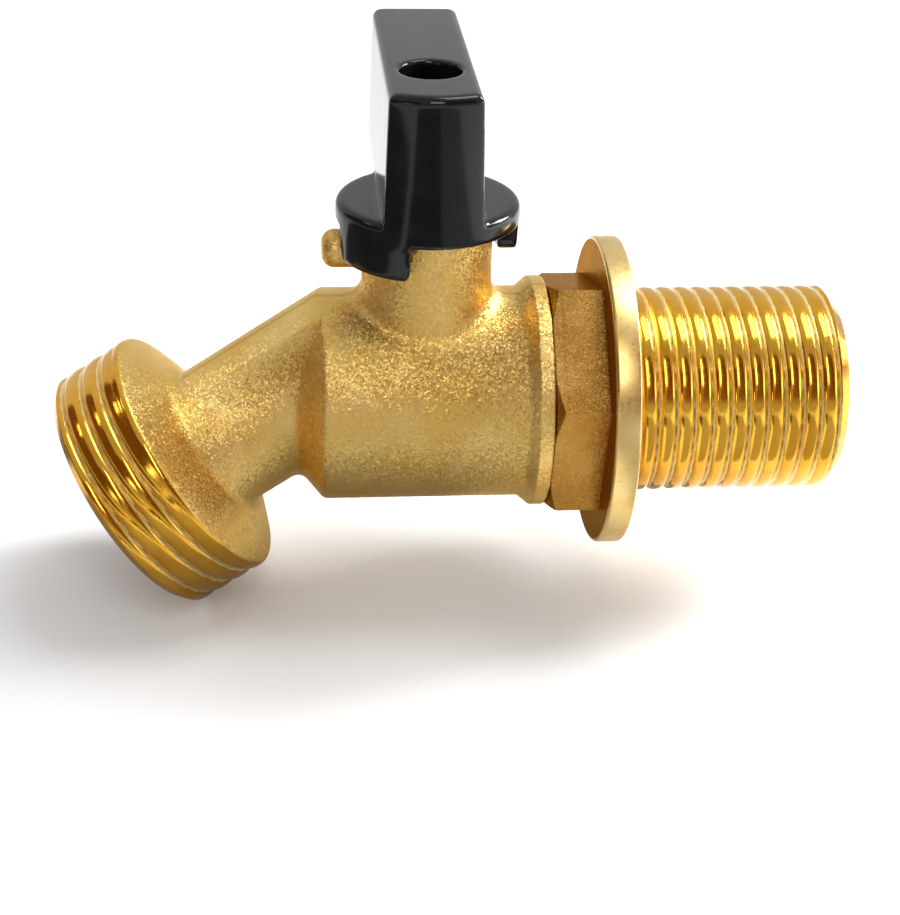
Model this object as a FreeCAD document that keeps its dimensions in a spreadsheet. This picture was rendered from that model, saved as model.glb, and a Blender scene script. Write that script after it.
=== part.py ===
import FreeCAD, Part
import math
import os
import Sketcher

doc = FreeCAD.newDocument("water_butt_tap")

# All sizes in millimetres and degrees. The origin is the centre of the flange's wall side, on the inlet's axis.
sizes = {
    # threaded inlet tail with its flange and hexagon
    "tail_thread_d": 20.955,
    "tail_length": 22.0,
    "tail_chamfer": 1.1,
    "tail_pitch": 1.814,
    "tail_depth": 0.95,
    "tail_crest": 0.65,
    "tail_root": 0.24,
    "tail_bore_d": 14.0,
    "flange_d": 31.5,
    "flange_thick": 2.55,
    "hex_across_flats": 22.4,
    "hex_length": 5.15,
    "hex_turn": 45.0,
    "hex_brow": 0.5,
    "hex_brow_slope": 0.55,
    "spigot_d": 17.0,
    # cast barrel with the raised ring at its inlet end
    "barrel_d": 21.5,
    "barrel_run": 2.05,
    "shoulder_run": 3.0,
    "shoulder_tuck": 0.3,
    "ring_d": 23.5,
    "ring_width": 1.5,
    "ring_run": 1.2,
    "neck_run": 1.05,
    # slanted spout and threaded outlet head
    "spout_angle": 33.7,
    "spout_start": 3.4,
    "spout_d": 14.9,
    "spout_overlap": 10.0,
    "spout_bore_d": 10.4,
    "head_back": 8.6,
    "head_rim": 11.4,
    "head_front": 19.7,
    "outlet_thread_d": 26.95,
    "outlet_chamfer": 0.8,
    "outlet_pitch": 2.209,
    "outlet_lead": 2.03,
    "outlet_depth": 0.8,
    "outlet_crest": 1.2,
    "outlet_root": 0.24,
    "mouth_d": 19.0,
    "mouth_depth": 8.0,
    "mouth_cone_slope": 0.6,
    # neck and stop lug
    "neck_d": 12.9,
    "neck_top": 19.2,
    "lug_d": 3.8,
    "lug_reach": 10.4,
    "lug_drop": 3.4,
    "lug_overlap": 1.2,
    # ball and its two seats
    "ball_d": 14.0,
    "port_d": 8.0,
    "slot_web": 1.0,
    "seat_reach": 7.7,
    "seat_near": 4.2,
    "seat_bore_d": 8.6,
    "chamber_d": 15.0,
    # stem, thrust washer and ring seals
    "stem_d": 7.0,
    "shoulder_d": 9.2,
    "shoulder_lift": 1.0,
    "shoulder_thick": 1.5,
    "washer_thick": 0.8,
    "cord_d": 1.1,
    "cord_rise": 1.6,
    "cord_spacing": 2.7,
    "tang_width": 3.0,
    "tang_length": 6.4,
    "stem_rise": 3.8,
    "stem_flats": 5.0,
    # lever handle
    "collar_d": 18.1,
    "collar_rise": 1.9,
    "collar_cover": 0.25,
    "skirt_drop": 3.4,
    "skirt_draft": 0.15,
    "skirt_lead": 0.5,
    "fin_rise": 12.7,
    "fin_back": 22.6,
    "fin_width_top": 8.8,
    "fin_width_base": 9.6,
    "screw_hole_d": 5.9,
    "screw_web": 1.9,
    # handle screw
    "screw_head_d": 5.4,
    "screw_head_thick": 2.2,
    "screw_d": 3.0,
    "screw_length": 7.8,
    "screw_point": 0.5,
    "screw_crown": 0.7,
    "screw_crown_run": 0.9,
    "cross_width": 0.9,
    "cross_length": 3.0,
    "cross_depth": 1.1,
    # clearances between pieces
    "thread_gap": 0.05,
    "socket_gap": 0.3,
    "pocket_gap": 0.3,
    "cord_gap": 0.02,
    "channel_gap": 0.15,
    "tang_gap": 0.2,
    "tap_gap": 0.6,
    "stem_end_gap": 0.1,
    "web_gap": 0.2,
    "seat_gap": 0.12,
    "seat_side_gap": 0.05,
    "stem_gap": 0.05,
    "washer_gap": 0.1,
    "slot_gap": 0.15,
    "flat_gap": 0.08,
    "screw_gap": 0.06,
    "lift_gap": 0.4,
    "collar_gap": 0.5,
    "stop_gap": 0.3,
    # rounded edges
    "cast_round": 0.8,
    "ring_round": 0.35,
    "neck_round": 1.9,
    "spout_round": 1.2,
    "barrel_round": 0.9,
    "lug_round": 1.3,
    "fin_round": 0.9,
    "nose_chamfer": 0.5,
    "fin_end_round": 1.4,
    "collar_round": 0.7,
    "skirt_round": 0.9,
    # how far cutters and joined forms reach past the faces that they meet
    "cut_clear": 1.0,
    "thread_clear": 0.25,
    "trim_run": 2.8,
    "trim_clear": 6.0,
    "bore_overlap": 2.5,
    "bore_overrun": 0.9,
    "pocket_overlap": 1.5,
    "tang_overlap": 0.2,
    "fin_overlap": 0.05,
    "fin_overrun": 3.0,
}

# Places and radii that follow from the sizes.
derived = {
    "tail_r": "tail_thread_d / 2",
    "tail_tip_r": "tail_r - tail_chamfer",
    "tail_chamfer_x": "tail_length - tail_chamfer",
    "tail_bore_r": "tail_bore_d / 2",
    "flange_r": "flange_d / 2",
    "flange_back": "-flange_thick",
    "hex_r": "hex_across_flats / sqrt(3)",
    "hex_r_minus": "-hex_r",
    "hex_half_r": "hex_r / 2",
    "hex_half_r_minus": "-hex_half_r",
    "hex_half_flats": "hex_across_flats / 2",
    "hex_half_flats_minus": "-hex_half_flats",
    "brow_r": "hex_half_flats + hex_brow",
    "brow_clear_r": "hex_r + cut_clear",
    "brow_x": "joint_x + (brow_clear_r - brow_r) * hex_brow_slope",
    "joint_x": "-flange_thick - hex_length",
    "neck_r": "neck_d / 2",
    "neck_spread": "neck_r + neck_round",
    "ring_x": "joint_x - ring_width",
    "ring_foot": "ring_x - ring_run",
    "stem_x": "ring_foot - neck_run - neck_spread",
    "spigot_r": "spigot_d / 2 - thread_gap",
    "spigot_end": "stem_x + seat_reach",
    "socket_r": "spigot_d / 2",
    "socket_end": "spigot_end - socket_gap",
    "barrel_r": "barrel_d / 2",
    "barrel_end": "stem_x - neck_spread - barrel_run",
    "shoulder_x": "barrel_end - shoulder_run",
    "shoulder_edge_r": "spout_r - shoulder_tuck",
    "ring_r": "ring_d / 2",
    "spout_x": "barrel_end - spout_start",
    "spout_turn": "180 + spout_angle",
    "spout_r": "spout_d / 2",
    "spout_root": "-spout_overlap",
    "trim_end": "barrel_end - trim_run",
    "trim_start": "stem_x",
    "trim_r": "barrel_r + trim_clear",
    "rim_r": "outlet_thread_d / 2",
    "head_tip": "head_front - outlet_chamfer",
    "head_tip_r": "rim_r - outlet_chamfer",
    "mouth_r": "mouth_d / 2",
    "mouth_floor": "head_front - mouth_depth",
    "mouth_cone": "mouth_floor - (mouth_r - spout_bore_r) * mouth_cone_slope",
    "spout_bore_r": "spout_bore_d / 2",
    "bore_root": "-bore_overlap",
    "lug_r": "lug_d / 2",
    "lug_z": "neck_top - lug_drop",
    "lug_x": "stem_x - lug_reach",
    "lug_grip": "lug_reach - neck_r + lug_overlap",
    "ball_r": "ball_d / 2",
    "port_r": "port_d / 2",
    "port_length": "ball_d + 2 * cut_clear",
    "slot_floor": "port_r + slot_web",
    "slot_depth": "slot_reach - slot_floor",
    "slot_half": "tang_width / 2 + slot_gap",
    "slot_half_minus": "-slot_half",
    "slot_reach": "ball_r + cut_clear",
    "slot_reach_minus": "-slot_reach",
    "inlet_near": "stem_x + seat_near",
    "outlet_near": "stem_x - seat_near",
    "seat_bore_r": "seat_bore_d / 2",
    "seat_r": "chamber_d / 2 - seat_side_gap",
    "seat_cup_r": "ball_r + seat_gap",
    "chamber_r": "chamber_d / 2",
    "chamber_end": "stem_x - seat_reach",
    "bore_end": "spout_x - bore_overrun",
    "stem_r": "stem_d / 2",
    "stem_bore_r": "stem_r + stem_gap",
    "shoulder_r": "shoulder_d / 2",
    "shoulder_base": "ball_r + shoulder_lift",
    "shoulder_top": "shoulder_base + shoulder_thick",
    "washer_base": "shoulder_top + washer_gap",
    "pocket_roof": "washer_base + washer_thick",
    "pocket_r": "shoulder_r + pocket_gap",
    "pocket_floor": "ball_r - pocket_overlap",
    "washer_r": "pocket_r - washer_gap",
    "washer_bore_r": "stem_r + stem_gap",
    "cord_low": "pocket_roof + cord_rise",
    "cord_high": "cord_low + cord_spacing",
    "cord_r": "cord_d / 2 - cord_gap",
    "cord_mean_r": "stem_r - cord_d / 2",
    "channel_r": "stem_r - cord_d",
    "channel_half": "cord_d / 2 + channel_gap",
    "channel_low_a": "cord_low - channel_half",
    "channel_low_b": "cord_low + channel_half",
    "channel_high_a": "cord_high - channel_half",
    "channel_high_b": "cord_high + channel_half",
    "tang_tip": "slot_floor + tang_gap",
    "tang_half": "tang_width / 2",
    "tang_half_minus": "-tang_half",
    "tang_reach": "tang_length / 2",
    "tang_reach_minus": "-tang_reach",
    "tang_height": "shoulder_base - tang_tip + tang_overlap",
    "stem_top": "neck_top + stem_rise",
    "flat_half": "stem_flats / 2",
    "flat_half_minus": "-flat_half",
    "flat_clear": "stem_d",
    "flat_clear_minus": "-flat_clear",
    "tap_r": "screw_d / 2 + screw_gap",
    "tap_floor": "screw_seat - screw_length - tap_gap",
    "collar_r": "collar_d / 2",
    "collar_low_r": "collar_r - skirt_draft",
    "collar_top": "neck_top + collar_rise",
    "collar_under": "neck_top - collar_cover",
    "skirt_under": "collar_under - skirt_drop",
    "recess_r": "neck_r + collar_gap",
    "recess_roof": "neck_top + lift_gap",
    "stop_half": "lug_r + stop_gap",
    "stop_half_minus": "-stop_half",
    "skirt_lead_minus": "-skirt_lead",
    "skirt_clear": "collar_r + 2 * cut_clear",
    "skirt_clear_minus": "-skirt_clear",
    "edge_r": "collar_r - collar_round",
    "edge_base": "collar_top - collar_round",
    "edge_low_r": "edge_r + collar_round * cos(30)",
    "edge_low": "edge_base + collar_round * sin(30)",
    "edge_high_r": "edge_r + collar_round * cos(60)",
    "edge_high": "edge_base + collar_round * sin(60)",
    "fin_under": "edge_base - fin_overlap",
    "fin_top": "collar_top + fin_rise",
    "fin_height": "fin_top - fin_under",
    "fin_half_base": "fin_width_base / 2",
    "fin_half_base_minus": "-fin_half_base",
    "fin_taper": "-atan((fin_width_base - fin_width_top) / 2 / fin_height)",
    "fin_front_minus": "-collar_r - fin_overrun",
    "front_clear": "collar_r + 2 * fin_overrun",
    "fin_clear": "fin_top + 2 * cut_clear",
    "nose_r": "collar_r - 2 * nose_chamfer",
    "nose_base": "fin_top - nose_chamfer",
    "nose_top": "fin_top + nose_chamfer",
    "socket_half": "flat_half + flat_gap",
    "socket_half_minus": "-socket_half",
    "socket_side": "stem_r + flat_gap",
    "socket_side_minus": "-socket_side",
    "socket_height": "stem_top + stem_end_gap - recess_roof",
    "screw_seat": "stem_top + stem_end_gap + screw_web",
    "screw_hole_r": "screw_hole_d / 2",
    "web_hole_r": "screw_d / 2 + web_gap",
    "screw_r": "screw_d / 2",
    "screw_tip": "screw_seat - screw_length",
    "screw_neck": "screw_tip + screw_point",
    "screw_tip_r": "screw_r - screw_point",
    "screw_head_r": "screw_head_d / 2",
    "screw_top": "screw_seat + screw_head_thick",
    "screw_brow": "screw_top - screw_crown",
    "screw_brow_r": "screw_head_r - screw_crown_run",
    "cross_half": "cross_width / 2",
    "cross_half_minus": "-cross_half",
    "cross_reach": "cross_length / 2",
    "cross_reach_minus": "-cross_reach",
}

# Each thread is a row of rings: the groove between two crests, as often as it fits before the end's chamfer.
for thread, first, last, radius in (("tail", "tail_pitch / 2", "tail_chamfer_x", "tail_r"),
                                    ("outlet", "head_rim + outlet_lead", "head_tip", "rim_r")):
    derived.update({
        thread + "_first": first,
        thread + "_half": "(%s_pitch - %s_crest) / 2" % (thread, thread),
        thread + "_slope": "(%s_half - %s_root / 2) / %s_depth" % (thread, thread, thread),
        thread + "_wide": "%s_half + thread_clear * %s_slope" % (thread, thread),
        thread + "_cut_low": "%s_first - %s_wide" % (thread, thread),
        thread + "_cut_high": "%s_first + %s_wide" % (thread, thread),
        thread + "_root_low": "%s_first - %s_root / 2" % (thread, thread),
        thread + "_root_high": "%s_first + %s_root / 2" % (thread, thread),
        thread + "_cut_r": "%s + thread_clear" % radius,
        thread + "_root_r": "%s - %s_depth" % (radius, thread),
        thread + "_steps": "floor((%s - %s_first - %s_half) / %s_pitch)" % (last, thread, thread, thread),
        thread + "_count": "%s_steps + 1" % thread,
        thread + "_run": "%s_steps * %s_pitch" % (thread, thread)})

sheet = doc.addObject("Spreadsheet::Sheet", "Sizes")
row = 1
for alias, value in sizes.items():
    sheet.set("A%d" % row, alias)
    sheet.set("B%d" % row, str(value))
    sheet.setAlias("B%d" % row, alias)
    row += 1
for alias in derived:
    sheet.set("A%d" % row, alias)
    sheet.setAlias("B%d" % row, alias)
    row += 1
row = len(sizes) + 1
for alias, formula in derived.items():
    sheet.set("B%d" % row, "=" + formula)
    row += 1
doc.recompute()


def size(alias):
    return float(sheet.get(alias))


def bind(item, place, alias):
    item.setExpression(place, "Sizes." + alias)


def new_body(label):
    body = doc.addObject("PartDesign::Body", label)
    body.Label = label
    return body


def new_sketch(body, name, role, shift=None, turn=None):
    sketch = body.newObject("Sketcher::SketchObject", name)
    plane = [item for item in body.Origin.OriginFeatures if item.Role == role][0]
    sketch.AttachmentSupport = [(plane, "")]
    sketch.MapMode = "FlatFace"
    for axis, alias in (shift or {}).items():
        bind(sketch, "AttachmentOffset.Base." + axis, alias)
    if turn:
        bind(sketch, "AttachmentOffset.Rotation.Angle", turn)
    return sketch


# Each corner is a pair of sheet names, with None for a corner that lies on an axis.
def pin_point(sketch, geometry, end, across, along):
    for kind, alias, axis in (("DistanceX", across, -2), ("DistanceY", along, -1)):
        if alias is None:
            sketch.addConstraint(Sketcher.Constraint("PointOnObject", geometry, end, axis))
            continue
        number = sketch.addConstraint(Sketcher.Constraint(kind, -1, 1, geometry, end, size(alias)))
        bind(sketch, "Constraints[%d]" % number, alias)


def outline(body, name, role, corners, shift=None, turn=None):
    sketch = new_sketch(body, name, role, shift, turn)
    spots = []
    for across, along in corners:
        spots.append(FreeCAD.Vector(size(across) if across else 0, size(along) if along else 0, 0))
    count = len(spots)
    for i in range(count):
        sketch.addGeometry(Part.LineSegment(spots[i], spots[(i + 1) % count]), False)
    for i in range(count):
        sketch.addConstraint(Sketcher.Constraint("Coincident", i, 2, (i + 1) % count, 1))
        pin_point(sketch, i, 1, corners[i][0], corners[i][1])
    return sketch


def disc(body, name, role, radius, centre=(None, None), shift=None):
    sketch = new_sketch(body, name, role, shift)
    spot = FreeCAD.Vector(size(centre[0]) if centre[0] else 0, size(centre[1]) if centre[1] else 0, 0)
    sketch.addGeometry(Part.Circle(spot, FreeCAD.Vector(0, 0, 1), size(radius)), False)
    number = sketch.addConstraint(Sketcher.Constraint("Radius", 0, size(radius)))
    bind(sketch, "Constraints[%d]" % number, radius)
    pin_point(sketch, 0, 3, centre[0], centre[1])
    return sketch


# A bar's plan: square corners at its front and rounded ones at its back.
def bar_end(body, name, half, front, back, radius, shift):
    sketch = new_sketch(body, name, "XY_Plane", shift)
    half_size, front_y, back_y, round_r = size(half), size(front), size(back), size(radius)
    shoulder = back_y - round_r
    flat = half_size - round_r
    up = FreeCAD.Vector(0, 0, 1)
    right_turn = Part.Circle(FreeCAD.Vector(flat, shoulder, 0), up, round_r)
    left_turn = Part.Circle(FreeCAD.Vector(-flat, shoulder, 0), up, round_r)
    quarter = math.pi / 2
    for item in (
            Part.LineSegment(FreeCAD.Vector(-half_size, front_y, 0), FreeCAD.Vector(half_size, front_y, 0)),
            Part.LineSegment(FreeCAD.Vector(half_size, front_y, 0), FreeCAD.Vector(half_size, shoulder, 0)),
            Part.ArcOfCircle(right_turn, 0, quarter),
            Part.LineSegment(FreeCAD.Vector(flat, back_y, 0), FreeCAD.Vector(-flat, back_y, 0)),
            Part.ArcOfCircle(left_turn, quarter, 2 * quarter),
            Part.LineSegment(FreeCAD.Vector(-half_size, shoulder, 0), FreeCAD.Vector(-half_size, front_y, 0))):
        sketch.addGeometry(item, False)
    for kind, first, first_end, second, second_end in (
            ("Coincident", 0, 2, 1, 1), ("Tangent", 1, 2, 2, 1), ("Tangent", 2, 2, 3, 1),
            ("Tangent", 3, 2, 4, 1), ("Tangent", 4, 2, 5, 1), ("Coincident", 5, 2, 0, 1)):
        sketch.addConstraint(Sketcher.Constraint(kind, first, first_end, second, second_end))
    for kind, line in (("Vertical", 1), ("Horizontal", 3), ("Vertical", 5)):
        sketch.addConstraint(Sketcher.Constraint(kind, line))
    pin_point(sketch, 0, 1, half + "_minus", front)
    pin_point(sketch, 0, 2, half, front)
    for kind, values, alias in (
            ("DistanceY", (-1, 1, 3, 1), back), ("Radius", (2,), radius), ("Radius", (4,), radius)):
        number = sketch.addConstraint(Sketcher.Constraint(kind, *values, size(alias)))
        bind(sketch, "Constraints[%d]" % number, alias)
    return sketch


def turned(body, kind, name, sketch, axis="H_Axis", angle=360, flip=False):
    feature = body.newObject("PartDesign::" + kind, name)
    feature.Profile = sketch
    feature.ReferenceAxis = (sketch, [axis])
    feature.Angle = angle
    feature.Reversed = flip
    body.Tip = feature
    return feature


def raised(body, kind, name, sketch, length, flip=False, middle=False):
    feature = body.newObject("PartDesign::" + kind, name)
    feature.Profile = sketch
    bind(feature, "Length", length)
    feature.Reversed = flip
    feature.Midplane = middle
    body.Tip = feature
    return feature


# A thread's rings: one groove turned about the sketch's own axis and repeated along it.
def threaded(body, thread, shift=None, turn=None):
    section = outline(body, thread + "_groove_outline", "XZ_Plane", [
        (thread + "_cut_low", thread + "_cut_r"), (thread + "_root_low", thread + "_root_r"),
        (thread + "_root_high", thread + "_root_r"), (thread + "_cut_high", thread + "_cut_r")], shift, turn)
    groove = turned(body, "Groove", thread + "_groove", section)
    rings = body.newObject("PartDesign::LinearPattern", thread + "_grooves")
    rings.Originals = [groove]
    rings.Direction = (section, ["H_Axis"])
    bind(rings, "Length", thread + "_run")
    bind(rings, "Occurrences", thread + "_count")
    body.Tip = rings
    return rings


# Picks the edges whose every sampled point passes the test, then rounds them.
def rounded(body, name, radius, test):
    doc.recompute()
    base = body.Tip
    picked = []
    for number, edge in enumerate(base.Shape.Edges):
        spots = edge.discretize(7)
        if all(test(spot) for spot in spots):
            picked.append("Edge%d" % (number + 1))
    feature = body.newObject("PartDesign::Fillet", name)
    feature.Base = (base, picked)
    bind(feature, "Radius", radius)
    body.Tip = feature
    return feature


def near(value, target, slack=0.02):
    return abs(value - target) < slack


def from_inlet_axis(spot):
    return (spot.y ** 2 + spot.z ** 2) ** 0.5


def from_stem_axis(spot):
    return ((spot.x - size("stem_x")) ** 2 + spot.y ** 2) ** 0.5


# Along and out from the spout's slanted axis.
def spout_place(spot):
    turn = FreeCAD.Rotation(FreeCAD.Vector(0, 1, 0), -size("spout_angle"))
    axis = turn.multVec(FreeCAD.Vector(-1, 0, 0))
    offset = spot - FreeCAD.Vector(size("spout_x"), 0, 0)
    along = offset.dot(axis)
    return along, (offset - axis * along).Length


# Body casting: barrel with shoulder and ring, spout, neck and stop lug, then its bores.
body = new_body("body")
barrel = outline(body, "barrel_outline", "XZ_Plane", [
    ("shoulder_x", None), ("shoulder_x", "shoulder_edge_r"), ("barrel_end", "barrel_r"),
    ("ring_foot", "barrel_r"), ("ring_x", "ring_r"), ("joint_x", "ring_r"), ("joint_x", None)])
turned(body, "Revolution", "barrel", barrel)
rounded(body, "barrel_edge", "barrel_round",
        lambda p: near(p.x, size("barrel_end")) and near(from_inlet_axis(p), size("barrel_r")))
rounded(body, "ring_edges", "ring_round", lambda p: near(from_inlet_axis(p), size("ring_r")))
spout = outline(body, "spout_outline", "XZ_Plane", [
    ("spout_root", None), ("spout_root", "spout_r"), ("head_back", "spout_r"), ("head_rim", "rim_r"),
    ("head_tip", "rim_r"), ("head_front", "head_tip_r"),
    ("head_front", None)], {"x": "spout_x"}, "spout_turn")
turned(body, "Revolution", "spout", spout)
trim = outline(body, "trim_outline", "XZ_Plane", [
    ("trim_end", "barrel_r"), ("trim_end", "trim_r"), ("trim_start", "trim_r"), ("trim_start", "barrel_r")])
turned(body, "Groove", "spout_trim", trim)
rounded(body, "head_edges", "cast_round",
        lambda p: near(spout_place(p)[0], size("head_rim")) and near(spout_place(p)[1], size("rim_r")))
neck = disc(body, "neck_outline", "XY_Plane", "neck_r", ("stem_x", None))
raised(body, "Pad", "neck", neck, "neck_top")
rounded(body, "neck_foot", "neck_round",
        lambda p: near(from_inlet_axis(p), size("barrel_r")) and near(from_stem_axis(p), size("neck_r")))
rounded(body, "spout_foot", "spout_round",
        lambda p: size("shoulder_x") < p.x < size("barrel_end") and near(spout_place(p)[1], size("spout_r")))
lug = disc(body, "lug_outline", "YZ_Plane", "lug_r", (None, "lug_z"), {"z": "lug_x"})
raised(body, "Pad", "lug", lug, "lug_grip")
rounded(body, "lug_nose", "lug_round",
        lambda p: near(p.x, size("lug_x")) and near(math.hypot(p.y, p.z - size("lug_z")), size("lug_r")))
chamber = outline(body, "chamber_outline", "XZ_Plane", [
    ("joint_x", None), ("joint_x", "socket_r"), ("socket_end", "socket_r"), ("socket_end", "chamber_r"),
    ("chamber_end", "chamber_r"), ("chamber_end", "seat_bore_r"), ("bore_end", "seat_bore_r"),
    ("bore_end", None)])
turned(body, "Groove", "chamber", chamber)
mouth = outline(body, "mouth_outline", "XZ_Plane", [
    ("bore_root", None), ("bore_root", "spout_bore_r"), ("mouth_cone", "spout_bore_r"),
    ("mouth_floor", "mouth_r"), ("head_front", "mouth_r"),
    ("head_front", None)], {"x": "spout_x"}, "spout_turn")
turned(body, "Groove", "mouth", mouth)
gland = outline(body, "gland_outline", "XZ_Plane", [
    (None, "pocket_floor"), ("pocket_r", "pocket_floor"), ("pocket_r", "pocket_roof"),
    ("stem_bore_r", "pocket_roof"), ("stem_bore_r", "neck_top"), (None, "neck_top")], {"x": "stem_x"})
turned(body, "Groove", "gland", gland, "V_Axis")
threaded(body, "outlet", {"x": "spout_x"}, "spout_turn")

# Tail piece: spigot, hexagon, flange and threaded tail with a through bore.
tail = new_body("tail_piece")
shank = outline(tail, "shank_outline", "XZ_Plane", [
    ("spigot_end", None), ("spigot_end", "spigot_r"), ("flange_back", "spigot_r"),
    ("flange_back", "flange_r"), (None, "flange_r"), (None, "tail_r"), ("tail_chamfer_x", "tail_r"),
    ("tail_length", "tail_tip_r"), ("tail_length", None)])
turned(tail, "Revolution", "shank", shank)
rounded(tail, "flange_edges", "ring_round", lambda p: near(from_inlet_axis(p), size("flange_r")))
hexagon = outline(tail, "hexagon_outline", "YZ_Plane", [
    ("hex_r", None), ("hex_half_r", "hex_half_flats"), ("hex_half_r_minus", "hex_half_flats"),
    ("hex_r_minus", None), ("hex_half_r_minus", "hex_half_flats_minus"),
    ("hex_half_r", "hex_half_flats_minus")], {"z": "joint_x"}, "hex_turn")
raised(tail, "Pad", "hexagon", hexagon, "hex_length")
brow = outline(tail, "hexagon_brow", "XZ_Plane", [
    ("joint_x", "brow_r"), ("joint_x", "brow_clear_r"), ("brow_x", "brow_clear_r")])
turned(tail, "Groove", "hexagon_corners", brow)
through = outline(tail, "through_outline", "XZ_Plane", [
    ("spigot_end", None), ("spigot_end", "tail_bore_r"), ("tail_length", "tail_bore_r"),
    ("tail_length", None)])
turned(tail, "Groove", "through_bore", through)
threaded(tail, "tail")


def placed_primitive(owner, kind, name, shift):
    feature = owner.newObject("PartDesign::" + kind, name)
    plane = [item for item in owner.Origin.OriginFeatures if item.Role == "XY_Plane"][0]
    feature.AttachmentSupport = [(plane, "")]
    feature.MapMode = "FlatFace"
    for axis, alias in shift.items():
        bind(feature, "AttachmentOffset.Base." + axis, alias)
    owner.Tip = feature
    return feature


# Ball, closed: its port lies across the waterway and its slot along it.
ball = new_body("ball")
sphere = placed_primitive(ball, "AdditiveSphere", "sphere", {"x": "stem_x"})
bind(sphere, "Radius", "ball_r")
port = disc(ball, "port_outline", "XZ_Plane", "port_r", ("stem_x", None))
raised(ball, "Pocket", "port", port, "port_length", middle=True)
slot = outline(ball, "slot_outline", "XY_Plane", [
    ("slot_reach_minus", "slot_half_minus"), ("slot_reach", "slot_half_minus"), ("slot_reach", "slot_half"),
    ("slot_reach_minus", "slot_half")], {"x": "stem_x", "z": "slot_reach"})
raised(ball, "Pocket", "slot", slot, "slot_depth")

# Seats: rings cupped to the ball, one held by the tail piece and one by the chamber's end.
for label, near_side, far_side in (("inlet_seat", "inlet_near", "spigot_end"),
                                   ("outlet_seat", "outlet_near", "chamber_end")):
    seat = new_body(label)
    section = outline(seat, label + "_outline", "XZ_Plane", [
        (near_side, "seat_bore_r"), (near_side, "seat_r"), (far_side, "seat_r"), (far_side, "seat_bore_r")])
    turned(seat, "Revolution", label + "_ring", section)
    cup = placed_primitive(seat, "SubtractiveSphere", label + "_cup", {"x": "stem_x"})
    bind(cup, "Radius", "seat_cup_r")

# Stem: tang in the ball's slot, shoulder, two seal channels, flats for the handle and a screw hole.
stem = new_body("stem")
spindle = outline(stem, "spindle_outline", "XZ_Plane", [
    (None, "shoulder_base"), ("shoulder_r", "shoulder_base"), ("shoulder_r", "shoulder_top"),
    ("stem_r", "shoulder_top"), ("stem_r", "channel_low_a"), ("channel_r", "channel_low_a"),
    ("channel_r", "channel_low_b"), ("stem_r", "channel_low_b"), ("stem_r", "channel_high_a"),
    ("channel_r", "channel_high_a"), ("channel_r", "channel_high_b"), ("stem_r", "channel_high_b"),
    ("stem_r", "stem_top"), (None, "stem_top")], {"x": "stem_x"})
turned(stem, "Revolution", "spindle", spindle, "V_Axis")
tang = outline(stem, "tang_outline", "XY_Plane", [
    ("tang_reach_minus", "tang_half_minus"), ("tang_reach", "tang_half_minus"), ("tang_reach", "tang_half"),
    ("tang_reach_minus", "tang_half")], {"x": "stem_x", "z": "tang_tip"})
raised(stem, "Pad", "tang", tang, "tang_height")
for side, inner, outer in (
        ("back", "flat_half", "flat_clear"), ("front", "flat_half_minus", "flat_clear_minus")):
    flat = outline(stem, side + "_flat_outline", "XY_Plane", [
        ("flat_clear_minus", inner), ("flat_clear", inner), ("flat_clear", outer), ("flat_clear_minus", outer)],
        {"x": "stem_x", "z": "stem_top"})
    raised(stem, "Pocket", side + "_flat", flat, "stem_rise")
tapping = outline(stem, "tapping_outline", "XZ_Plane", [
    (None, "tap_floor"), ("tap_r", "tap_floor"),
    ("tap_r", "stem_top"), (None, "stem_top")], {"x": "stem_x"})
turned(stem, "Groove", "tapping", tapping, "V_Axis")

# Thrust washer under the neck, and the two ring seals in the stem's channels.
washer = new_body("thrust_washer")
section = outline(washer, "washer_outline", "XZ_Plane", [
    ("washer_bore_r", "washer_base"), ("washer_r", "washer_base"), ("washer_r", "pocket_roof"),
    ("washer_bore_r", "pocket_roof")], {"x": "stem_x"})
turned(washer, "Revolution", "washer_ring", section, "V_Axis")
for label, level in (("lower_o_ring", "cord_low"), ("upper_o_ring", "cord_high")):
    seal = new_body(label)
    cord = placed_primitive(seal, "AdditiveTorus", label + "_cord", {"x": "stem_x", "z": level})
    bind(cord, "Radius1", "cord_mean_r")
    bind(cord, "Radius2", "cord_r")

# The lower corners of the skirts' ends, beside the gaps that the stop lug runs in.
def on_skirt_corner(spot):
    across = abs(spot.x - size("stem_x"))
    at_end = near(across, size("stop_half")) or near(spot.y, size("stop_half_minus"))
    return near(spot.z, size("skirt_under")) and (at_end or near(spot.y, size("skirt_lead_minus")))


# Handle: collar with two deep skirts, lever fin flush with the collar's front, socket and screw hole.
handle = new_body("handle")
fin = bar_end(handle, "fin_outline", "fin_half_base", "fin_front_minus", "fin_back", "fin_end_round",
              {"x": "stem_x", "z": "fin_under"})
raised(handle, "Pad", "fin", fin, "fin_height")
bind(handle.Tip, "TaperAngle", "fin_taper")
rounded(handle, "fin_top_edges", "fin_round", lambda p: near(p.z, size("fin_top")))
front = outline(handle, "front_outline", "XZ_Plane", [
    ("collar_r", "fin_under"), ("front_clear", "fin_under"), ("front_clear", "nose_top"),
    ("nose_r", "nose_top"), ("collar_r", "nose_base")], {"x": "stem_x"})
turned(handle, "Groove", "fin_front", front, "V_Axis", 180, True)
collar = outline(handle, "collar_outline", "YZ_Plane", [
    (None, "recess_roof"), ("recess_r", "recess_roof"), ("recess_r", "skirt_under"),
    ("collar_low_r", "skirt_under"), ("collar_r", "collar_under"), ("collar_r", "edge_base"),
    ("edge_low_r", "edge_low"), ("edge_high_r", "edge_high"),
    ("edge_r", "collar_top"), (None, "collar_top")], {"z": "stem_x"})
turned(handle, "Revolution", "collar", collar, "V_Axis")
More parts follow.
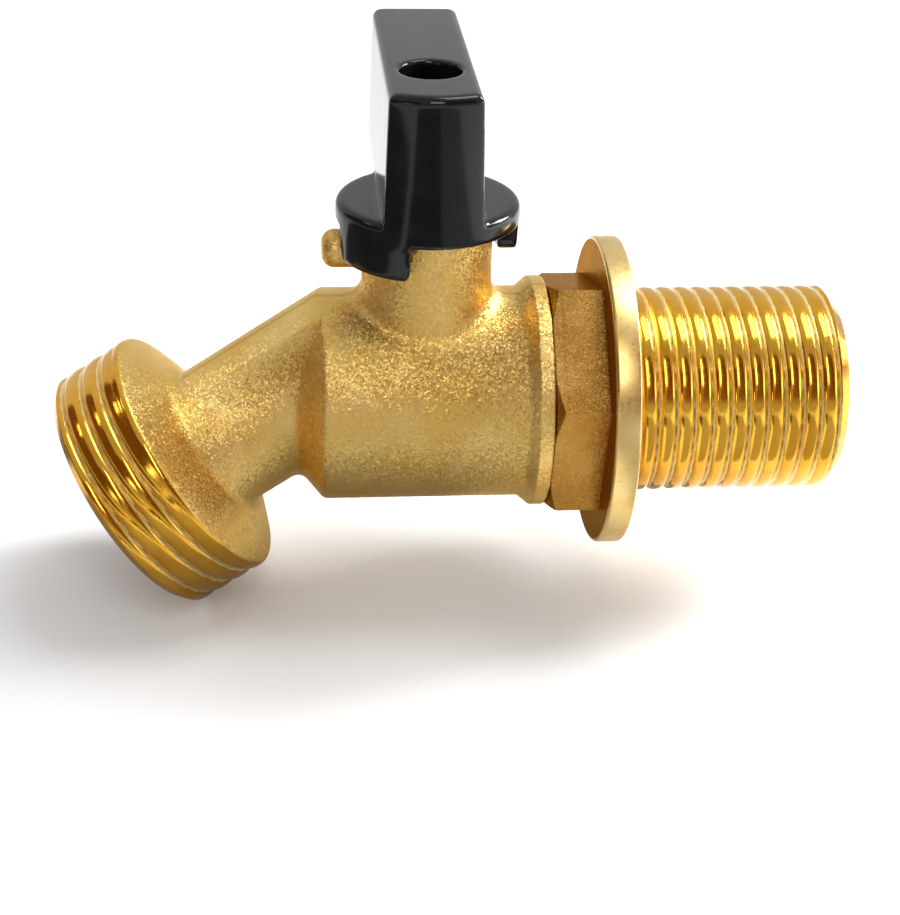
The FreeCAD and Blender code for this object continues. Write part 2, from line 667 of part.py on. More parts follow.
for side, left, right, low, high in (
        ("front", "stop_half_minus", "skirt_clear", "skirt_clear_minus", "skirt_lead_minus"),
        ("back", "skirt_clear_minus", "stop_half", "stop_half_minus", "skirt_clear")):
    gap = outline(handle, side + "_gap_outline", "XY_Plane", [
        (left, low), (right, low), (right, high), (left, high)], {"x": "stem_x", "z": "skirt_under"})
    raised(handle, "Pocket", side + "_gap", gap, "skirt_drop", flip=True)
rounded(handle, "skirt_corners", "skirt_round", on_skirt_corner)
screw_way = outline(handle, "screw_way_outline", "XZ_Plane", [
    (None, "recess_roof"), ("web_hole_r", "recess_roof"), ("web_hole_r", "screw_seat"),
    ("screw_hole_r", "screw_seat"), ("screw_hole_r", "fin_clear"), (None, "fin_clear")], {"x": "stem_x"})
turned(handle, "Groove", "screw_way", screw_way, "V_Axis")
socket = outline(handle, "socket_outline", "XY_Plane", [
    ("socket_side_minus", "socket_half_minus"), ("socket_side", "socket_half_minus"),
    ("socket_side", "socket_half"),
    ("socket_side_minus", "socket_half")], {"x": "stem_x", "z": "recess_roof"})
raised(handle, "Pocket", "socket", socket, "socket_height", flip=True)

# Handle screw with a crossed drive recess.
screw = new_body("handle_screw")
section = outline(screw, "screw_outline", "XZ_Plane", [
    (None, "screw_tip"), ("screw_tip_r", "screw_tip"), ("screw_r", "screw_neck"), ("screw_r", "screw_seat"),
    ("screw_head_r", "screw_seat"), ("screw_head_r", "screw_brow"), ("screw_brow_r", "screw_top"),
    (None, "screw_top")], {"x": "stem_x"})
turned(screw, "Revolution", "screw_shank", section, "V_Axis")
cross = outline(screw, "cross_outline", "XY_Plane", [
    ("cross_half", "cross_half"), ("cross_half", "cross_reach"), ("cross_half_minus", "cross_reach"),
    ("cross_half_minus", "cross_half"), ("cross_reach_minus", "cross_half"),
    ("cross_reach_minus", "cross_half_minus"), ("cross_half_minus", "cross_half_minus"),
    ("cross_half_minus", "cross_reach_minus"), ("cross_half", "cross_reach_minus"),
    ("cross_half", "cross_half_minus"), ("cross_reach", "cross_half_minus"), ("cross_reach", "cross_half")],
    {"x": "stem_x", "z": "screw_top"})
raised(screw, "Pocket", "cross_recess", cross, "cross_depth")

doc.recompute()
for item in doc.Objects:
    if "Invalid" in item.State or "Error" in item.State:
        raise RuntimeError("%s did not build: %s" % (item.Label, item.State))
os.makedirs("parts", exist_ok=True)
for item in doc.Objects:
    if item.TypeId != "PartDesign::Body":
        continue
    shape = item.Shape
    if shape.isNull() or not shape.isValid() or len(shape.Solids) != 1:
        raise RuntimeError("%s is not one valid solid" % item.Label)
    shape.exportStep("parts/%s.step" % item.Label)
    print(item.Label, round(shape.Volume, 1), shape.optimalBoundingBox(True, False))
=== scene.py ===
import math

import bmesh
import bpy
import numpy as np
from mathutils import Matrix, Vector


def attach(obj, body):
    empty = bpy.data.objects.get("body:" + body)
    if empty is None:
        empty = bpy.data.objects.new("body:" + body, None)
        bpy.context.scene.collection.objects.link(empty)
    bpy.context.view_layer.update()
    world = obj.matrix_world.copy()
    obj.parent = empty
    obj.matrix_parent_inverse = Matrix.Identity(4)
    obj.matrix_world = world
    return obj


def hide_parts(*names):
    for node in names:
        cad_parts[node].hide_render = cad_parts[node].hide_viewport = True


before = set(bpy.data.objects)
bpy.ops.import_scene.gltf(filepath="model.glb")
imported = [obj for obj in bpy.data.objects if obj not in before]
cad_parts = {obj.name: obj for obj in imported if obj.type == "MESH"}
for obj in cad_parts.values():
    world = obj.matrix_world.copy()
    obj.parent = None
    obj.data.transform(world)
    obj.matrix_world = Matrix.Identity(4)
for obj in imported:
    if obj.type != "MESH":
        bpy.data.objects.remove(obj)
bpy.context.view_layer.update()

scene = bpy.context.scene
mm = 0.001

# the spout's line, shared by the casting and its thread, in millimetres
spoutFoot = np.array([-33.6, 0.0, 0.0])
spoutAngle = math.radians(33.7)
spoutAxis = np.array([-math.cos(spoutAngle), 0.0, -math.sin(spoutAngle)])
spoutUp = np.array([-math.sin(spoutAngle), 0.0, math.cos(spoutAngle)])
print("frame loaded:", len(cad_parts), "nodes")


# materials

def newMaterial(name):
    material = bpy.data.materials.new(name)
    material.use_nodes = True
    tree = material.node_tree
    shader = tree.nodes["Principled BSDF"]
    return material, tree, shader


def addNode(tree, kind, **values):
    node = tree.nodes.new(kind)
    for key, value in values.items():
        if key in node.inputs:
            node.inputs[key].default_value = value
        else:
            setattr(node, key, value)
    return node


def addMath(tree, operation, first, second=None):
    # one step of arithmetic on an output, with a number or another output
    node = addNode(tree, "ShaderNodeMath", operation=operation)
    tree.links.new(first, node.inputs[0])
    if isinstance(second, float):
        node.inputs[1].default_value = second
    elif second is not None:
        tree.links.new(second, node.inputs[1])
    return node.outputs[0]


def addRamp(tree, source, stops):
    node = tree.nodes.new("ShaderNodeValToRGB")
    while len(node.color_ramp.elements) < len(stops):
        node.color_ramp.elements.new(0.5)
    for element, (place, colour) in zip(node.color_ramp.elements, stops):
        element.position = place
        element.color = (*colour, 1.0)
    tree.links.new(source, node.inputs["Fac"])
    return node.outputs["Color"]


def addRange(tree, source, start, end, first, last):
    # a smooth step from the first value to the last between start and end
    node = addNode(tree, "ShaderNodeMapRange", interpolation_type="SMOOTHSTEP")
    tree.links.new(source, node.inputs["Value"])
    node.inputs["From Min"].default_value = start
    node.inputs["From Max"].default_value = end
    node.inputs["To Min"].default_value = first
    node.inputs["To Max"].default_value = last
    return node.outputs["Result"]


def addMix(tree, factor, first, second):
    node = addNode(tree, "ShaderNodeMix", data_type="RGBA")
    tree.links.new(factor, node.inputs["Factor"])
    tree.links.new(first, node.inputs[6])
    node.inputs[7].default_value = (*second, 1.0)
    return node.outputs[2]


def addNoise(tree, place, scale, detail, **values):
    node = addNode(tree, "ShaderNodeTexNoise", Scale=scale, Detail=detail, **values)
    tree.links.new(place, node.inputs["Vector"])
    return node.outputs["Fac"]


def addBump(tree, height, strength, distance):
    node = addNode(tree, "ShaderNodeBump", Strength=strength, Distance=distance)
    tree.links.new(height, node.inputs["Height"])
    return node.outputs["Normal"]


def objectPlace(tree):
    return addNode(tree, "ShaderNodeTexCoord").outputs["Object"]


def splitAxes(tree, place):
    node = addNode(tree, "ShaderNodeSeparateXYZ")
    tree.links.new(place, node.inputs[0])
    return node.outputs


def grey(value):
    return (value, value, value)


# the stretch of a noise over which a tint or a roughness changes
noiseLow = 0.3
noiseHigh = 0.7


def addRough(tree, shader, noise, least, most):
    rough = addRamp(tree, noise, ((noiseLow, grey(least)), (noiseHigh, grey(most))))
    tree.links.new(rough, shader.inputs["Roughness"])


castLook = {"gold": (0.74, 0.475, 0.125), "brown": (0.24, 0.115, 0.02), "pale": (0.88, 0.68, 0.30),
            "grain": 6200.0, "grainDepth": 0.00003, "tilt": 0.40, "roughness": 0.37, "seam": 0.00028,
            "seamEnd": -0.0443, "edge": (1.0, 0.92, 0.75)}
forgedLook = {"gold": (0.36, 0.18, 0.035), "brown": (0.16, 0.07, 0.01), "pale": (0.56, 0.34, 0.10),
              "grain": 7000.0, "grainDepth": 0.00003, "tilt": 0.16, "roughness": 0.28, "seam": 0.0,
              "edge": (0.60, 0.40, 0.20)}
# settings that are the same for every blasted skin
blastedSkin = {"patchScale": 170.0, "patchStart": 0.38, "patchEnd": 0.72, "patchTone": 0.5,
               "fineShare": 0.9, "noiseRoughness": 0.6, "smoother": 0.06, "rougher": 0.10,
               "cornerShadeReach": 0.0014, "cornerShadeSamples": 8, "cornerShadeStart": 0.22, "cornerShadeEnd": 0.62,
               "seamCore": 0.4, "seamFade": 2.0, "seamTone": 0.30}


def blastedBrass(name, look):
    # shot-blasted skin: facets tipped each its own way, painted shade that turns corners brown by ambient
    # occlusion, paler patches,
    #     and the mould's seam along y = 0 as far as the outlet head
    skin = blastedSkin
    material, tree, shader = newMaterial(name)
    place = objectPlace(tree)
    pebble = addNode(tree, "ShaderNodeTexVoronoi", Scale=look["grain"], Randomness=1.0)
    tree.links.new(place, pebble.inputs["Vector"])
    fine = addNoise(tree, place, look["grain"] * skin["fineShare"], 2.0, Roughness=skin["noiseRoughness"])
    patch = addNoise(tree, place, skin["patchScale"], 4.0, Roughness=skin["noiseRoughness"])
    # painted shade: ambient occlusion turns the colour brown in corners and hollows
    cornerShade = addNode(tree, "ShaderNodeAmbientOcclusion", Distance=skin["cornerShadeReach"])
    cornerShade.samples = skin["cornerShadeSamples"]
    cornerShadeStops = ((skin["cornerShadeStart"], look["brown"]), (skin["cornerShadeEnd"], look["gold"]))
    shade = addRamp(tree, cornerShade.outputs["AO"], cornerShadeStops)
    patchStops = ((skin["patchStart"], grey(0.0)), (skin["patchEnd"], grey(skin["patchTone"])))
    colour = addMix(tree, addRamp(tree, patch, patchStops), shade, look["pale"])
    relief = fine
    if look["seam"]:
        axes = splitAxes(tree, place)
        across = addMath(tree, "ABSOLUTE", axes["Y"])
        core = look["seam"] * skin["seamCore"]
        fade = look["seam"] * skin["seamFade"]
        ridge = addRange(tree, across, core, fade, skin["seamTone"], 0.0)
        inner = addMath(tree, "GREATER_THAN", axes["X"], look["seamEnd"])
        band = addMath(tree, "MULTIPLY", ridge, inner)
        colour = addMix(tree, band, colour, look["brown"])
        relief = addMath(tree, "ADD", relief, band)
    tree.links.new(colour, shader.inputs["Base Color"])
    addRough(tree, shader, fine, look["roughness"] - skin["smoother"], look["roughness"] + skin["rougher"])
    lean = addNode(tree, "ShaderNodeVectorMath", operation="MULTIPLY_ADD")
    tree.links.new(pebble.outputs["Color"], lean.inputs[0])
    lean.inputs[1].default_value = grey(look["tilt"])
    lean.inputs[2].default_value = grey(-look["tilt"] / 2)
    tipped = addNode(tree, "ShaderNodeVectorMath", operation="ADD")
    tree.links.new(addBump(tree, relief, 1.0, look["grainDepth"]), tipped.inputs[0])
    tree.links.new(lean.outputs[0], tipped.inputs[1])
    unit = addNode(tree, "ShaderNodeVectorMath", operation="NORMALIZE")
    tree.links.new(tipped.outputs[0], unit.inputs[0])
    tree.links.new(unit.outputs[0], shader.inputs["Normal"])
    shader.inputs["Metallic"].default_value = 1.0
    shader.inputs["Specular Tint"].default_value = (*look["edge"], 1.0)
    return material


turnedLook = {"gold": (0.84, 0.45, 0.05), "deep": (0.74, 0.345, 0.03), "roughness": 0.13}
satinLook = {"gold": (0.82, 0.60, 0.24), "deep": (0.70, 0.47, 0.15), "roughness": 0.30}
# the pale root strip is a painted highlight, for the bright lines where the ribs' flanks catch the light
rootHighlightLook = {"gold": (0.97, 0.85, 0.52), "deep": (0.93, 0.77, 0.40), "roughness": 0.32}
# settings that are the same for every turned skin
turnedSkin = {"stainScale": 240.0, "stainEnd": 0.58, "smearScale": 2600.0, "smoother": 0.04, "rougher": 0.06,
              "bump": 0.10, "bumpDepth": 0.00003}


def turnedMaterial(name, look):
    # machined brass: light stains, and smears of roughness left by the tool
    skin = turnedSkin
    material, tree, shader = newMaterial(name)
    place = objectPlace(tree)
    stain = addNoise(tree, place, skin["stainScale"], 3.0)
    smear = addNoise(tree, place, skin["smearScale"], 2.0)
    tint = addRamp(tree, stain, ((noiseLow, look["deep"]), (skin["stainEnd"], look["gold"])))
    tree.links.new(tint, shader.inputs["Base Color"])
    addRough(tree, shader, smear, look["roughness"] - skin["smoother"], look["roughness"] + skin["rougher"])
    tree.links.new(addBump(tree, smear, skin["bump"], skin["bumpDepth"]), shader.inputs["Normal"])
    shader.inputs["Metallic"].default_value = 1.0
    return material


# a plain skin's least and greatest roughness as shares of its own, and the strength of its bump
plainSkin = {"smoother": 0.85, "rougher": 1.2, "bump": 0.15}


def plainMaterial(name, colours, roughness, metallic, scale, depth, gloss=0.5):
    # two tones by soft noise, roughness that varies with it, and a fine bump
    skin = plainSkin
    material, tree, shader = newMaterial(name)
    noise = addNoise(tree, objectPlace(tree), scale, 3.0)
    tint = addRamp(tree, noise, ((noiseLow, colours[0]), (noiseHigh, colours[1])))
    tree.links.new(tint, shader.inputs["Base Color"])
    addRough(tree, shader, noise, roughness * skin["smoother"], roughness * skin["rougher"])
    tree.links.new(addBump(tree, noise, skin["bump"], depth), shader.inputs["Normal"])
    shader.inputs["Metallic"].default_value = metallic
    shader.inputs["Specular IOR Level"].default_value = gloss
    return material


castBrass = blastedBrass("castBrass", castLook)
forgedBrass = blastedBrass("forgedBrass", forgedLook)
turnedBrass = turnedMaterial("turnedBrass", turnedLook)
satinBrass = turnedMaterial("satinBrass", satinLook)
rootHighlightBrass = turnedMaterial("rootHighlightBrass", rootHighlightLook)
# name, two colours, roughness, metal or not, scale of the noise, depth of the bump and gloss
handleBlack = plainMaterial("handleBlack", (grey(0.0035), grey(0.007)), 0.10, 0.0, 420.0, 0.00002, 0.32)
ballChrome = plainMaterial("ballChrome", (grey(0.72), grey(0.80)), 0.06, 1.0, 900.0, 0.00001)
seatWhite = plainMaterial("seatWhite", ((0.80, 0.80, 0.78), (0.88, 0.88, 0.86)), 0.45, 0.0, 600.0, 0.00003)
sealRubber = plainMaterial("sealRubber", (grey(0.012), grey(0.022)), 0.6, 0.0, 1500.0, 0.00003)
stemBrass = plainMaterial("stemBrass", (turnedLook["deep"], turnedLook["gold"]), 0.25, 1.0, 1400.0, 0.00002)
screwSteel = plainMaterial("screwSteel", (grey(0.50), grey(0.62)), 0.28, 1.0, 1800.0, 0.00002)
print("materials made")


# surfaces of turned pieces: one row of points per place along the profile, one column per angle

def gridMesh(name, points, skins):
    # the last row joins the first and the last column joins the first, so the skin is closed
    rows, columns = points.shape[:2]
    index = np.arange(rows * columns).reshape(rows, columns)
    below = np.roll(index, -1, axis=0)
    corners = (index, np.roll(index, -1, axis=1), np.roll(below, -1, axis=1), below)
    faces = np.stack(corners, axis=-1).reshape(-1, 4)
    mesh = bpy.data.meshes.new(name)
    mesh.vertices.add(rows * columns)
    mesh.vertices.foreach_set("co", (points * mm).astype(np.float32).ravel())
    mesh.loops.add(faces.size)
    mesh.loops.foreach_set("vertex_index", faces.astype(np.int32).ravel())
    mesh.polygons.add(len(faces))
    mesh.polygons.foreach_set("loop_start", np.arange(0, faces.size, 4, dtype=np.int32))
    mesh.update()
    mesh.validate()
    mesh.polygons.foreach_set("material_index", skins.astype(np.int32).ravel())
    return mesh


def addPiece(name, mesh, materials, body, node, sharp):
    piece = bpy.data.objects.new(name, mesh)
    scene.collection.objects.link(piece)
    for material in materials:
        mesh.materials.append(material)
    mesh.polygons.foreach_set("use_smooth", np.ones(len(mesh.polygons), dtype=bool))
    mesh.set_sharp_from_angle(angle=math.radians(sharp))
    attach(piece, body)
    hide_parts(node)
    return piece


def newProfile(theta):
    # rows of a turned surface: the place along its axis, and the radius and finish at each angle
    return {"theta": theta, "places": [], "radii": [], "skins": []}


def addRun(profile, run, skin):
    # a radius or a finish is one value for the whole row, or one for each angle
    for place, radius in run:
        profile["places"].append(place)
        profile["radii"].append(np.broadcast_to(radius, profile["theta"].shape))
        profile["skins"].append(np.broadcast_to(skin, profile["theta"].shape))


def line(start, end, count):
    # points of a straight run of the profile, without its end
    part = np.arange(count)[:, None] / count
    return np.array(start) * (1 - part) + np.array(end) * part


def fromCrest(along, angle, pitch):
    # 0 on the crest of a right-hand screw line and 1 in its root, by the distance along and the angle round
    phase = along / pitch - angle / (2 * math.pi)
    return np.abs(2 * (phase - np.floor(phase)) - 1)


def addThreadRow(profile, place, across, shallow, size, end, skins):
    # depth below the crest: ribs with broad crests whose sides curve down ever more steeply
    # to meet in a root; the chamfer at the thread's end cuts them at 45 degrees
    fullness = size["fullness"]
    dip = size["depth"] * (1 - (1 - across ** fullness) ** (1 / fullness))
    cut = size["threadR"] - size["chamfer"] + (end - place)
    radius = np.minimum(size["threadR"] - dip * shallow, cut)
    # the root strip takes the pale painted highlight
    skin = np.where(across > size["rootFrom"], skins["root"], skins["turned"])
    addRun(profile, [(place, radius)], skin)


# places of the finishes, and of the roots' pale painted highlight, in the tail's list of materials
tailSkins = {"turned": 0, "forged": 1, "satin": 2, "root": 3}
tailSizes = {"threadR": 10.4775, "pitch": 1.814, "depth": 0.95, "fullness": 2.6, "rootFrom": 0.79,
             "firstDip": 0.35, "length": 22.0, "chamfer": 1.1, "boreR": 7.0, "boreEdge": 0.4,
             "flangeR": 15.75, "flangeThick": 2.55, "flangeLand": 1.4, "rimRound": 0.35,
             "hexFlats": 22.4, "hexLength": 5.15, "hexTurn": 45.0, "faceInset": 0.05, "faceDrop": 0.12,
             "browRise": 0.5, "browSlope": 0.55, "browInset": 0.03, "browDrop": 0.05, "browStart": 0.05,
             "browEnd": 0.9, "sideStart": 1.0, "spigotR": 8.45, "spigotEnd": -12.1, "spigotEdge": 0.25,
             "columns": 192, "rowsPerPitch": 34}


def tailPiece():
    # a profile of places along the tail's axis and radii about it, carried round in equal steps;
    # at the hexagon and on the thread the radius depends on the angle too
    size = tailSizes
    turned = tailSkins["turned"]
    forged = tailSkins["forged"]
    satin = tailSkins["satin"]
    threadR = size["threadR"]
    boreR = size["boreR"]
    spigotR = size["spigotR"]
    back = -size["flangeThick"]
    joint = back - size["hexLength"]
    theta = 2 * math.pi * np.arange(size["columns"]) / size["columns"] + math.radians(size["hexTurn"])
    # distance from the axis to the hexagon's side at each angle
    sector = np.mod(theta - math.radians(size["hexTurn"]), math.pi / 3) - math.pi / 6
    hexR = size["hexFlats"] / 2 / np.cos(sector)
    profile = newProfile(theta)
    # spigot inside the body
    end = size["spigotEnd"]
    edge = size["spigotEdge"]
    addRun(profile, line((end, boreR), (end, spigotR - edge), 2), turned)
    addRun(profile, line((end, spigotR - edge), (end + edge, spigotR), 3), turned)
    addRun(profile, line((end + edge, spigotR), (joint, spigotR), 6), turned)
    # hexagon: face next to the body, corners cut by a cone, sides
    brow = size["hexFlats"] / 2 + size["browRise"]
    addRun(profile, [(joint, spigotR)], forged)
    addRun(profile, [(joint, np.minimum(hexR - size["faceInset"], brow - size["faceDrop"]))], forged)
    for run in np.linspace(size["browStart"], size["browEnd"], 12):
        cone = brow - size["browDrop"] + run / size["browSlope"]
        addRun(profile, [(joint + run, np.minimum(hexR - size["browInset"], cone))], forged)
    addRun(profile, [(x, hexR) for x in np.linspace(joint + size["sideStart"], back, 8)], forged)
    # flange with lightly rounded rim
    rim = size["rimRound"]
    rimFoot = size["flangeR"] - rim
    bend = np.linspace(0, math.pi / 2, 7)
    addRun(profile, line((back, size["flangeR"] - size["flangeLand"]), (back, rimFoot), 4), forged)
    addRun(profile, zip(back + rim - rim * np.cos(bend), rimFoot + rim * np.sin(bend)), satin)
    addRun(profile, zip(-rim + rim * np.sin(bend), rimFoot + rim * np.cos(bend)), satin)
    addRun(profile, line((0, rimFoot), (0, threadR), 5), satin)
    # thread: full rounded ribs with narrow roots, shallow beside the flange
    end = size["length"]
    edge = size["boreEdge"]
    for x in np.arange(0.0, end, size["pitch"] / size["rowsPerPitch"]):
        shallow = min(1.0, size["firstDip"] + x)
        across = fromCrest(x, theta, size["pitch"])
        addThreadRow(profile, x, across, shallow, size, end, tailSkins)
    # end face, the bore's edge and the bore
    addRun(profile, line((end, threadR - size["chamfer"]), (end, boreR + edge), 3), turned)
    addRun(profile, line((end, boreR + edge), (end - edge, boreR), 3), turned)
    addRun(profile, line((end - edge, boreR), (size["spigotEnd"], boreR), 12), turned)
    radius = np.array(profile["radii"])
    x = np.repeat(np.array(profile["places"], dtype=float)[:, None], size["columns"], axis=1)
    points = np.stack([x, radius * np.cos(theta), radius * np.sin(theta)], axis=-1)
    # a face takes the finish of the row that it runs from
    skins = np.roll(np.array(profile["skins"])[::-1], -1, axis=0)
    return gridMesh("tailTurned", points[::-1], skins)


tail = addPiece("tailTurned", tailPiece(), (turnedBrass, forgedBrass, satinBrass, rootHighlightBrass),
                "tap_body", "tail_piece", sharp=38.0)
print("tail made:", len(tail.data.polygons), "faces")


# places of the finishes, and of the roots' pale painted highlight, in the body's list of materials
bodySkins = {"cast": 0, "turned": 1, "root": 2}
outletSizes = {"threadR": 13.475, "pitch": 2.209, "depth": 1.05, "fullness": 2.5, "rootFrom": 0.82,
               "lead": 0.73, "start": 11.95, "tuck": 0.01, "firstRow": 0.04, "fadeIn": 0.5,
               "rimStart": 11.40, "rimR": 13.1, "front": 19.7, "chamfer": 0.8, "mouthR": 9.5,
               "mouthEdge": 0.4, "columns": 288, "rowsPerPitch": 36}


def outletThread():
    # a profile of places along the spout's axis and radii about it, carried round in equal steps;
    # on the thread the radius depends on the angle too
    size = outletSizes
    turned = bodySkins["turned"]
    start = size["start"]
    front = size["front"]
    edge = size["mouthEdge"]
    mouthR = size["mouthR"]
    land = size["threadR"] - size["tuck"]
    theta = 2 * math.pi * np.arange(size["columns"]) / size["columns"]
    profile = newProfile(theta)
    # ribs from just under the casting's land to the front
    addRun(profile, [(start, land)], turned)
    for place in np.arange(start + size["firstRow"], front, size["pitch"] / size["rowsPerPitch"]):
        shallow = np.clip((place - start) / size["fadeIn"], 0, 1)
        across = fromCrest(place - size["lead"], theta, size["pitch"])
        addThreadRow(profile, place, across, shallow, size, front, bodySkins)
    # front face, the mouth's edge, the mouth and the face against the casting
    addRun(profile, line((front, size["threadR"] - size["chamfer"]), (front, mouthR + edge), 4), turned)
    addRun(profile, line((front, mouthR + edge), (front - edge, mouthR), 3), turned)
    addRun(profile, line((front - edge, mouthR), (start, mouthR), 8), turned)
    addRun(profile, line((start, mouthR), (start, land), 4), turned)
    radius = np.array(profile["radii"])[..., None]
    place = np.array(profile["places"], dtype=float)[:, None, None]
    side = np.array([0.0, 1.0, 0.0])
    ring = np.cos(theta)[None, :, None] * spoutUp + np.sin(theta)[None, :, None] * side
    points = spoutFoot + place * spoutAxis + radius * ring
    return gridMesh("outletThread", points, np.array(profile["skins"]))


# in metres: points closer than this are one, and points this near the cut lie on it
weldReach = 1e-6
cutSlack = 1e-7


def weldedCopy(node):
    # a working copy of a solid's surface, its doubled points merged
    work = bmesh.new()
    work.from_mesh(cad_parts[node].data)
    bmesh.ops.remove_doubles(work, verts=work.verts, dist=weldReach)
    return work


def bodyCast():
    # the casting up to the outlet's first land, where the screw thread takes over; its rim is turned bright
    work = weldedCopy("body")
    cutPoint = (spoutFoot + spoutAxis * outletSizes["start"]) * mm
    result = bmesh.ops.bisect_plane(work, geom=work.verts[:] + work.edges[:] + work.faces[:], dist=cutSlack,
                                    plane_co=Vector(cutPoint), plane_no=Vector(spoutAxis), clear_outer=True)
    edges = [item for item in result["geom_cut"] if isinstance(item, bmesh.types.BMEdge)]
    bmesh.ops.bridge_loops(work, edges=edges)
    bmesh.ops.recalc_face_normals(work, faces=work.faces)
    for face in work.faces:
        spot = np.array(face.calc_center_median()) / mm - spoutFoot
        place = spot @ spoutAxis
        out = np.linalg.norm(spot - place * spoutAxis)
        rim = place > outletSizes["rimStart"] and out > outletSizes["rimR"]
        face.material_index = bodySkins["turned"] if rim else bodySkins["cast"]
    work.from_mesh(outletThread())
    mesh = bpy.data.meshes.new("bodyCast")
    work.to_mesh(mesh)
    work.free()
    return mesh


body = addPiece("bodyCast", bodyCast(), (castBrass, turnedBrass, rootHighlightBrass),
                "tap_body", "body", sharp=32.0)
print("body made:", len(body.data.polygons), "faces")


handleSizes = {"cell": 0.18, "relaxSteps": 16, "relaxFactor": 0.5}


def handleMoulded():
    # the solid's surface on a fine even grid, relaxed so that every edge and corner is softly rounded
    size = handleSizes
    work = weldedCopy("handle")
    rawMesh = bpy.data.meshes.new("handleRaw")
    work.to_mesh(rawMesh)
    work.free()
    raw = bpy.data.objects.new("handleRaw", rawMesh)
    scene.collection.objects.link(raw)
    cells = raw.modifiers.new("cells", "REMESH")
    cells.mode = "VOXEL"
    cells.voxel_size = size["cell"] * mm
    relax = raw.modifiers.new("relax", "SMOOTH")
    relax.factor = size["relaxFactor"]
    relax.iterations = size["relaxSteps"]
    mesh = bpy.data.meshes.new_from_object(raw.evaluated_get(bpy.context.evaluated_depsgraph_get()))
    bpy.data.objects.remove(raw)
    mesh.name = "handleMoulded"
    return mesh


handle = addPiece("handleMoulded", handleMoulded(), (handleBlack,),
                  "handle_set", "handle", sharp=60.0)
print("handle made:", len(handle.data.polygons), "faces")

# pieces that show the solid itself
innerFinishes = {"handle_screw": screwSteel, "ball": ballChrome, "inlet_seat": seatWhite,
                 "outlet_seat": seatWhite, "thrust_washer": seatWhite, "stem": stemBrass,
                 "lower_o_ring": sealRubber, "upper_o_ring": sealRubber}
for name, material in innerFinishes.items():
    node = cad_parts[name]
    node.data.materials.clear()
    node.data.materials.append(material)
print("inner pieces dressed")


# camera, fitted to the photograph's view: place in millimetres, turns in degrees,
# focal length and side in picture points, sensor in millimetres, near clip in metres
cameraSizes = {"place": (-34.785, -177.783, 87.231), "yaw": 5.750, "pitch": -27.991, "roll": 1.709,
               "focal": 1938.3, "pictureSide": 915.0, "sensor": 36.0, "nearClip": 0.005}


def addCamera():
    size = cameraSizes
    yaw, pitch, roll = (math.radians(size[key]) for key in ("yaw", "pitch", "roll"))
    forward = Vector((math.sin(yaw) * math.cos(pitch), math.cos(yaw) * math.cos(pitch), math.sin(pitch)))
    right = Vector((math.cos(yaw), -math.sin(yaw), 0.0))
    up = right.cross(forward)
    side = right * math.cos(roll) + up * math.sin(roll)
    top = up * math.cos(roll) - right * math.sin(roll)
    data = bpy.data.cameras.new("camera")
    data.sensor_width = size["sensor"]
    data.lens = size["focal"] * size["sensor"] / size["pictureSide"]
    data.clip_start = size["nearClip"]
    camera = bpy.data.objects.new("camera", data)
    turn = Matrix((side, top, -forward)).transposed().to_4x4()
    camera.matrix_world = Matrix.Translation(Vector(size["place"]) * mm) @ turn
    scene.collection.objects.link(camera)
    scene.camera = camera


addCamera()
print("camera set")


# floor, the dark sheets and cards that only the metal and the handle mirror, world and lights, in metres

stageSizes = {"level": -0.0218, "reach": 1.5, "floor": 0.88, "sheetLift": 0.00005, "roughness": 0.9}
# sheets on the floor that only reflections see: left, right, front and back edge, and grey; the near and
# back sheets are painted shadow, the object's shadow on the floor as the metal mirrors it, and the others
# are painted dark reflections
floorSheetSizes = {"nearShadowSheet": (-0.075, -0.016, -0.055, 0.034, 0.38),
              "backShadowSheet": (-0.012, 0.008, 0.000, 0.034, 0.30),
              "frontDarkSheet": (-0.075, 0.004, -0.220, -0.076, 0.10),
              "leftDarkSheet": (-0.280, -0.085, -0.140, 0.050, 0.10),
              "rightDarkSheet": (0.004, 0.070, -0.220, -0.018, 0.34)}
# upright cards that only reflections see, painted dark reflections: where each starts and ends on the floor
# plan, and its lower and upper edge
cardBrown = (0.17, 0.08, 0.03)
cardSizes = {"leftCard": ((-0.50, 0.33), (-0.50, -0.45), 0.02, 0.48),
             "spoutCard": ((-0.50, -0.45), (-0.13, -0.45), 0.06, 0.46),
             "frontCard": ((-0.030, -0.45), (0.60, -0.45), 0.03, 0.85)}
# colours of the front card by height: palest at its lower edge, a little paler at its upper edge
frontFade = ((0.03, grey(0.5)), (0.11, cardBrown), (0.50, cardBrown), (0.85, (0.28, 0.17, 0.09)))


def stageSheet(name, corners, colour):
    mesh = bpy.data.meshes.new(name)
    mesh.from_pydata(corners, [], [(0, 1, 2, 3)])
    sheet = bpy.data.objects.new(name, mesh)
    scene.collection.objects.link(sheet)
    material, _, shader = newMaterial(name)
    shader.inputs["Base Color"].default_value = (*colour, 1.0)
    shader.inputs["Roughness"].default_value = stageSizes["roughness"]
    shader.inputs["Specular IOR Level"].default_value = 0.0
    mesh.materials.append(material)
    return sheet


def lying(left, right, front, back, level):
    return [(left, front, level), (right, front, level), (right, back, level), (left, back, level)]


def upright(start, end, low, high):
    return [(*start, low), (*end, low), (*end, high), (*start, high)]


def hideSheet(sheet):
    # only reflections see the sheet
    sheet.visible_camera = False
    sheet.visible_diffuse = False
    sheet.visible_shadow = False


def fadeCard(card, stops):
    tree = card.data.materials[0].node_tree
    tint = addRamp(tree, splitAxes(tree, objectPlace(tree))["Z"], stops)
    tree.links.new(tint, tree.nodes["Principled BSDF"].inputs["Base Color"])


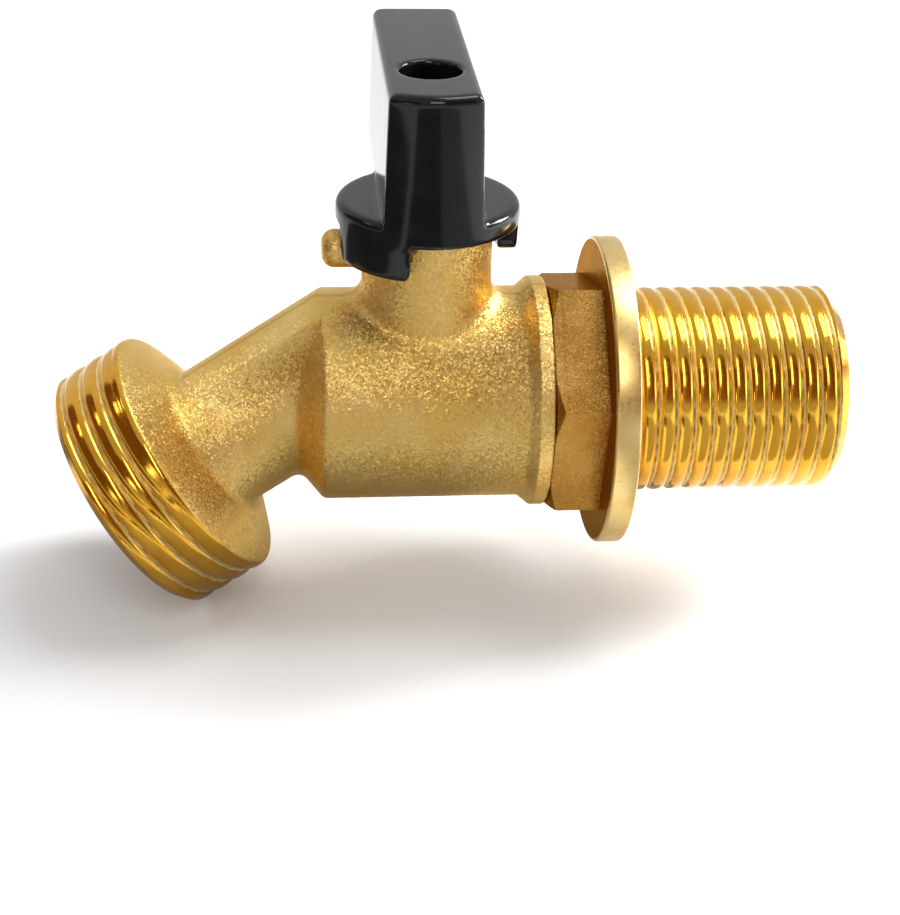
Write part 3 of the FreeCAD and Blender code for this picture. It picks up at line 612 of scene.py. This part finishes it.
def addStage():
    size = stageSizes
    reach = size["reach"]
    stageSheet("floor", lying(-reach, reach, -reach, reach, size["level"]), grey(size["floor"]))
    for name, (*edges, tone) in floorSheetSizes.items():
        hideSheet(stageSheet(name, lying(*edges, size["level"] + size["sheetLift"]), grey(tone)))
    for name, values in cardSizes.items():
        card = stageSheet(name, upright(*values), cardBrown)
        hideSheet(card)
        if name == "frontCard":
            fadeCard(card, frontFade)


worldLook = {"front": 0.52, "back": 0.74, "fadeStart": -0.3, "fadeEnd": 0.5}


def addWorld():
    # soft white all round, brighter behind the object than on the camera's side
    look = worldLook
    world = bpy.data.worlds.new("studio")
    scene.world = world
    world.use_nodes = True
    tree = world.node_tree
    background = tree.nodes["Background"]
    axes = splitAxes(tree, addNode(tree, "ShaderNodeTexCoord").outputs["Generated"])
    strength = addRange(tree, axes["Y"], look["fadeStart"], look["fadeEnd"], look["front"], look["back"])
    tree.links.new(strength, background.inputs["Strength"])
    background.inputs["Color"].default_value = (1.0, 1.0, 1.0, 1.0)


# softboxes: bearing from the camera's side towards the right, height in degrees, distance, size and radiance
lightAim = Vector((-0.018, 0.0, 0.005))
lightSizes = {"topBox": (112.0, 70.0, 0.50, 0.24, 0.22, 5.6),
              "rightBox": (110.0, 33.0, 0.45, 0.16, 0.16, 26.0),
              "lowBox": (88.0, 8.0, 0.16, 0.16, 0.04, 3.0),
              "frontBox": (4.0, 41.0, 0.50, 0.12, 0.26, 4.9),
              "leftWindow": (-92.0, 37.0, 0.42, 0.07, 0.06, 3.5),
              "frontWindow": (-31.0, 10.0, 0.42, 0.08, 0.05, 3.0)}


def addLight(name, bearing, height, distance, width, tall, radiance):
    data = bpy.data.lights.new(name, "AREA")
    data.shape = "RECTANGLE"
    data.size = width
    data.size_y = tall
    data.energy = radiance * math.pi * width * tall
    light = bpy.data.objects.new(name, data)
    turn = math.radians(bearing)
    rise = math.radians(height)
    away = Vector((math.cos(rise) * math.sin(turn), -math.cos(rise) * math.cos(turn), math.sin(rise)))
    facing = (-away).to_track_quat("-Z", "Y").to_matrix().to_4x4()
    light.matrix_world = Matrix.Translation(lightAim + away * distance) @ facing
    light.visible_camera = False
    scene.collection.objects.link(light)


addStage()
addWorld()
for name, values in lightSizes.items():
    addLight(name, *values)

scene.view_settings.view_transform = "Standard"
print("scene ready")
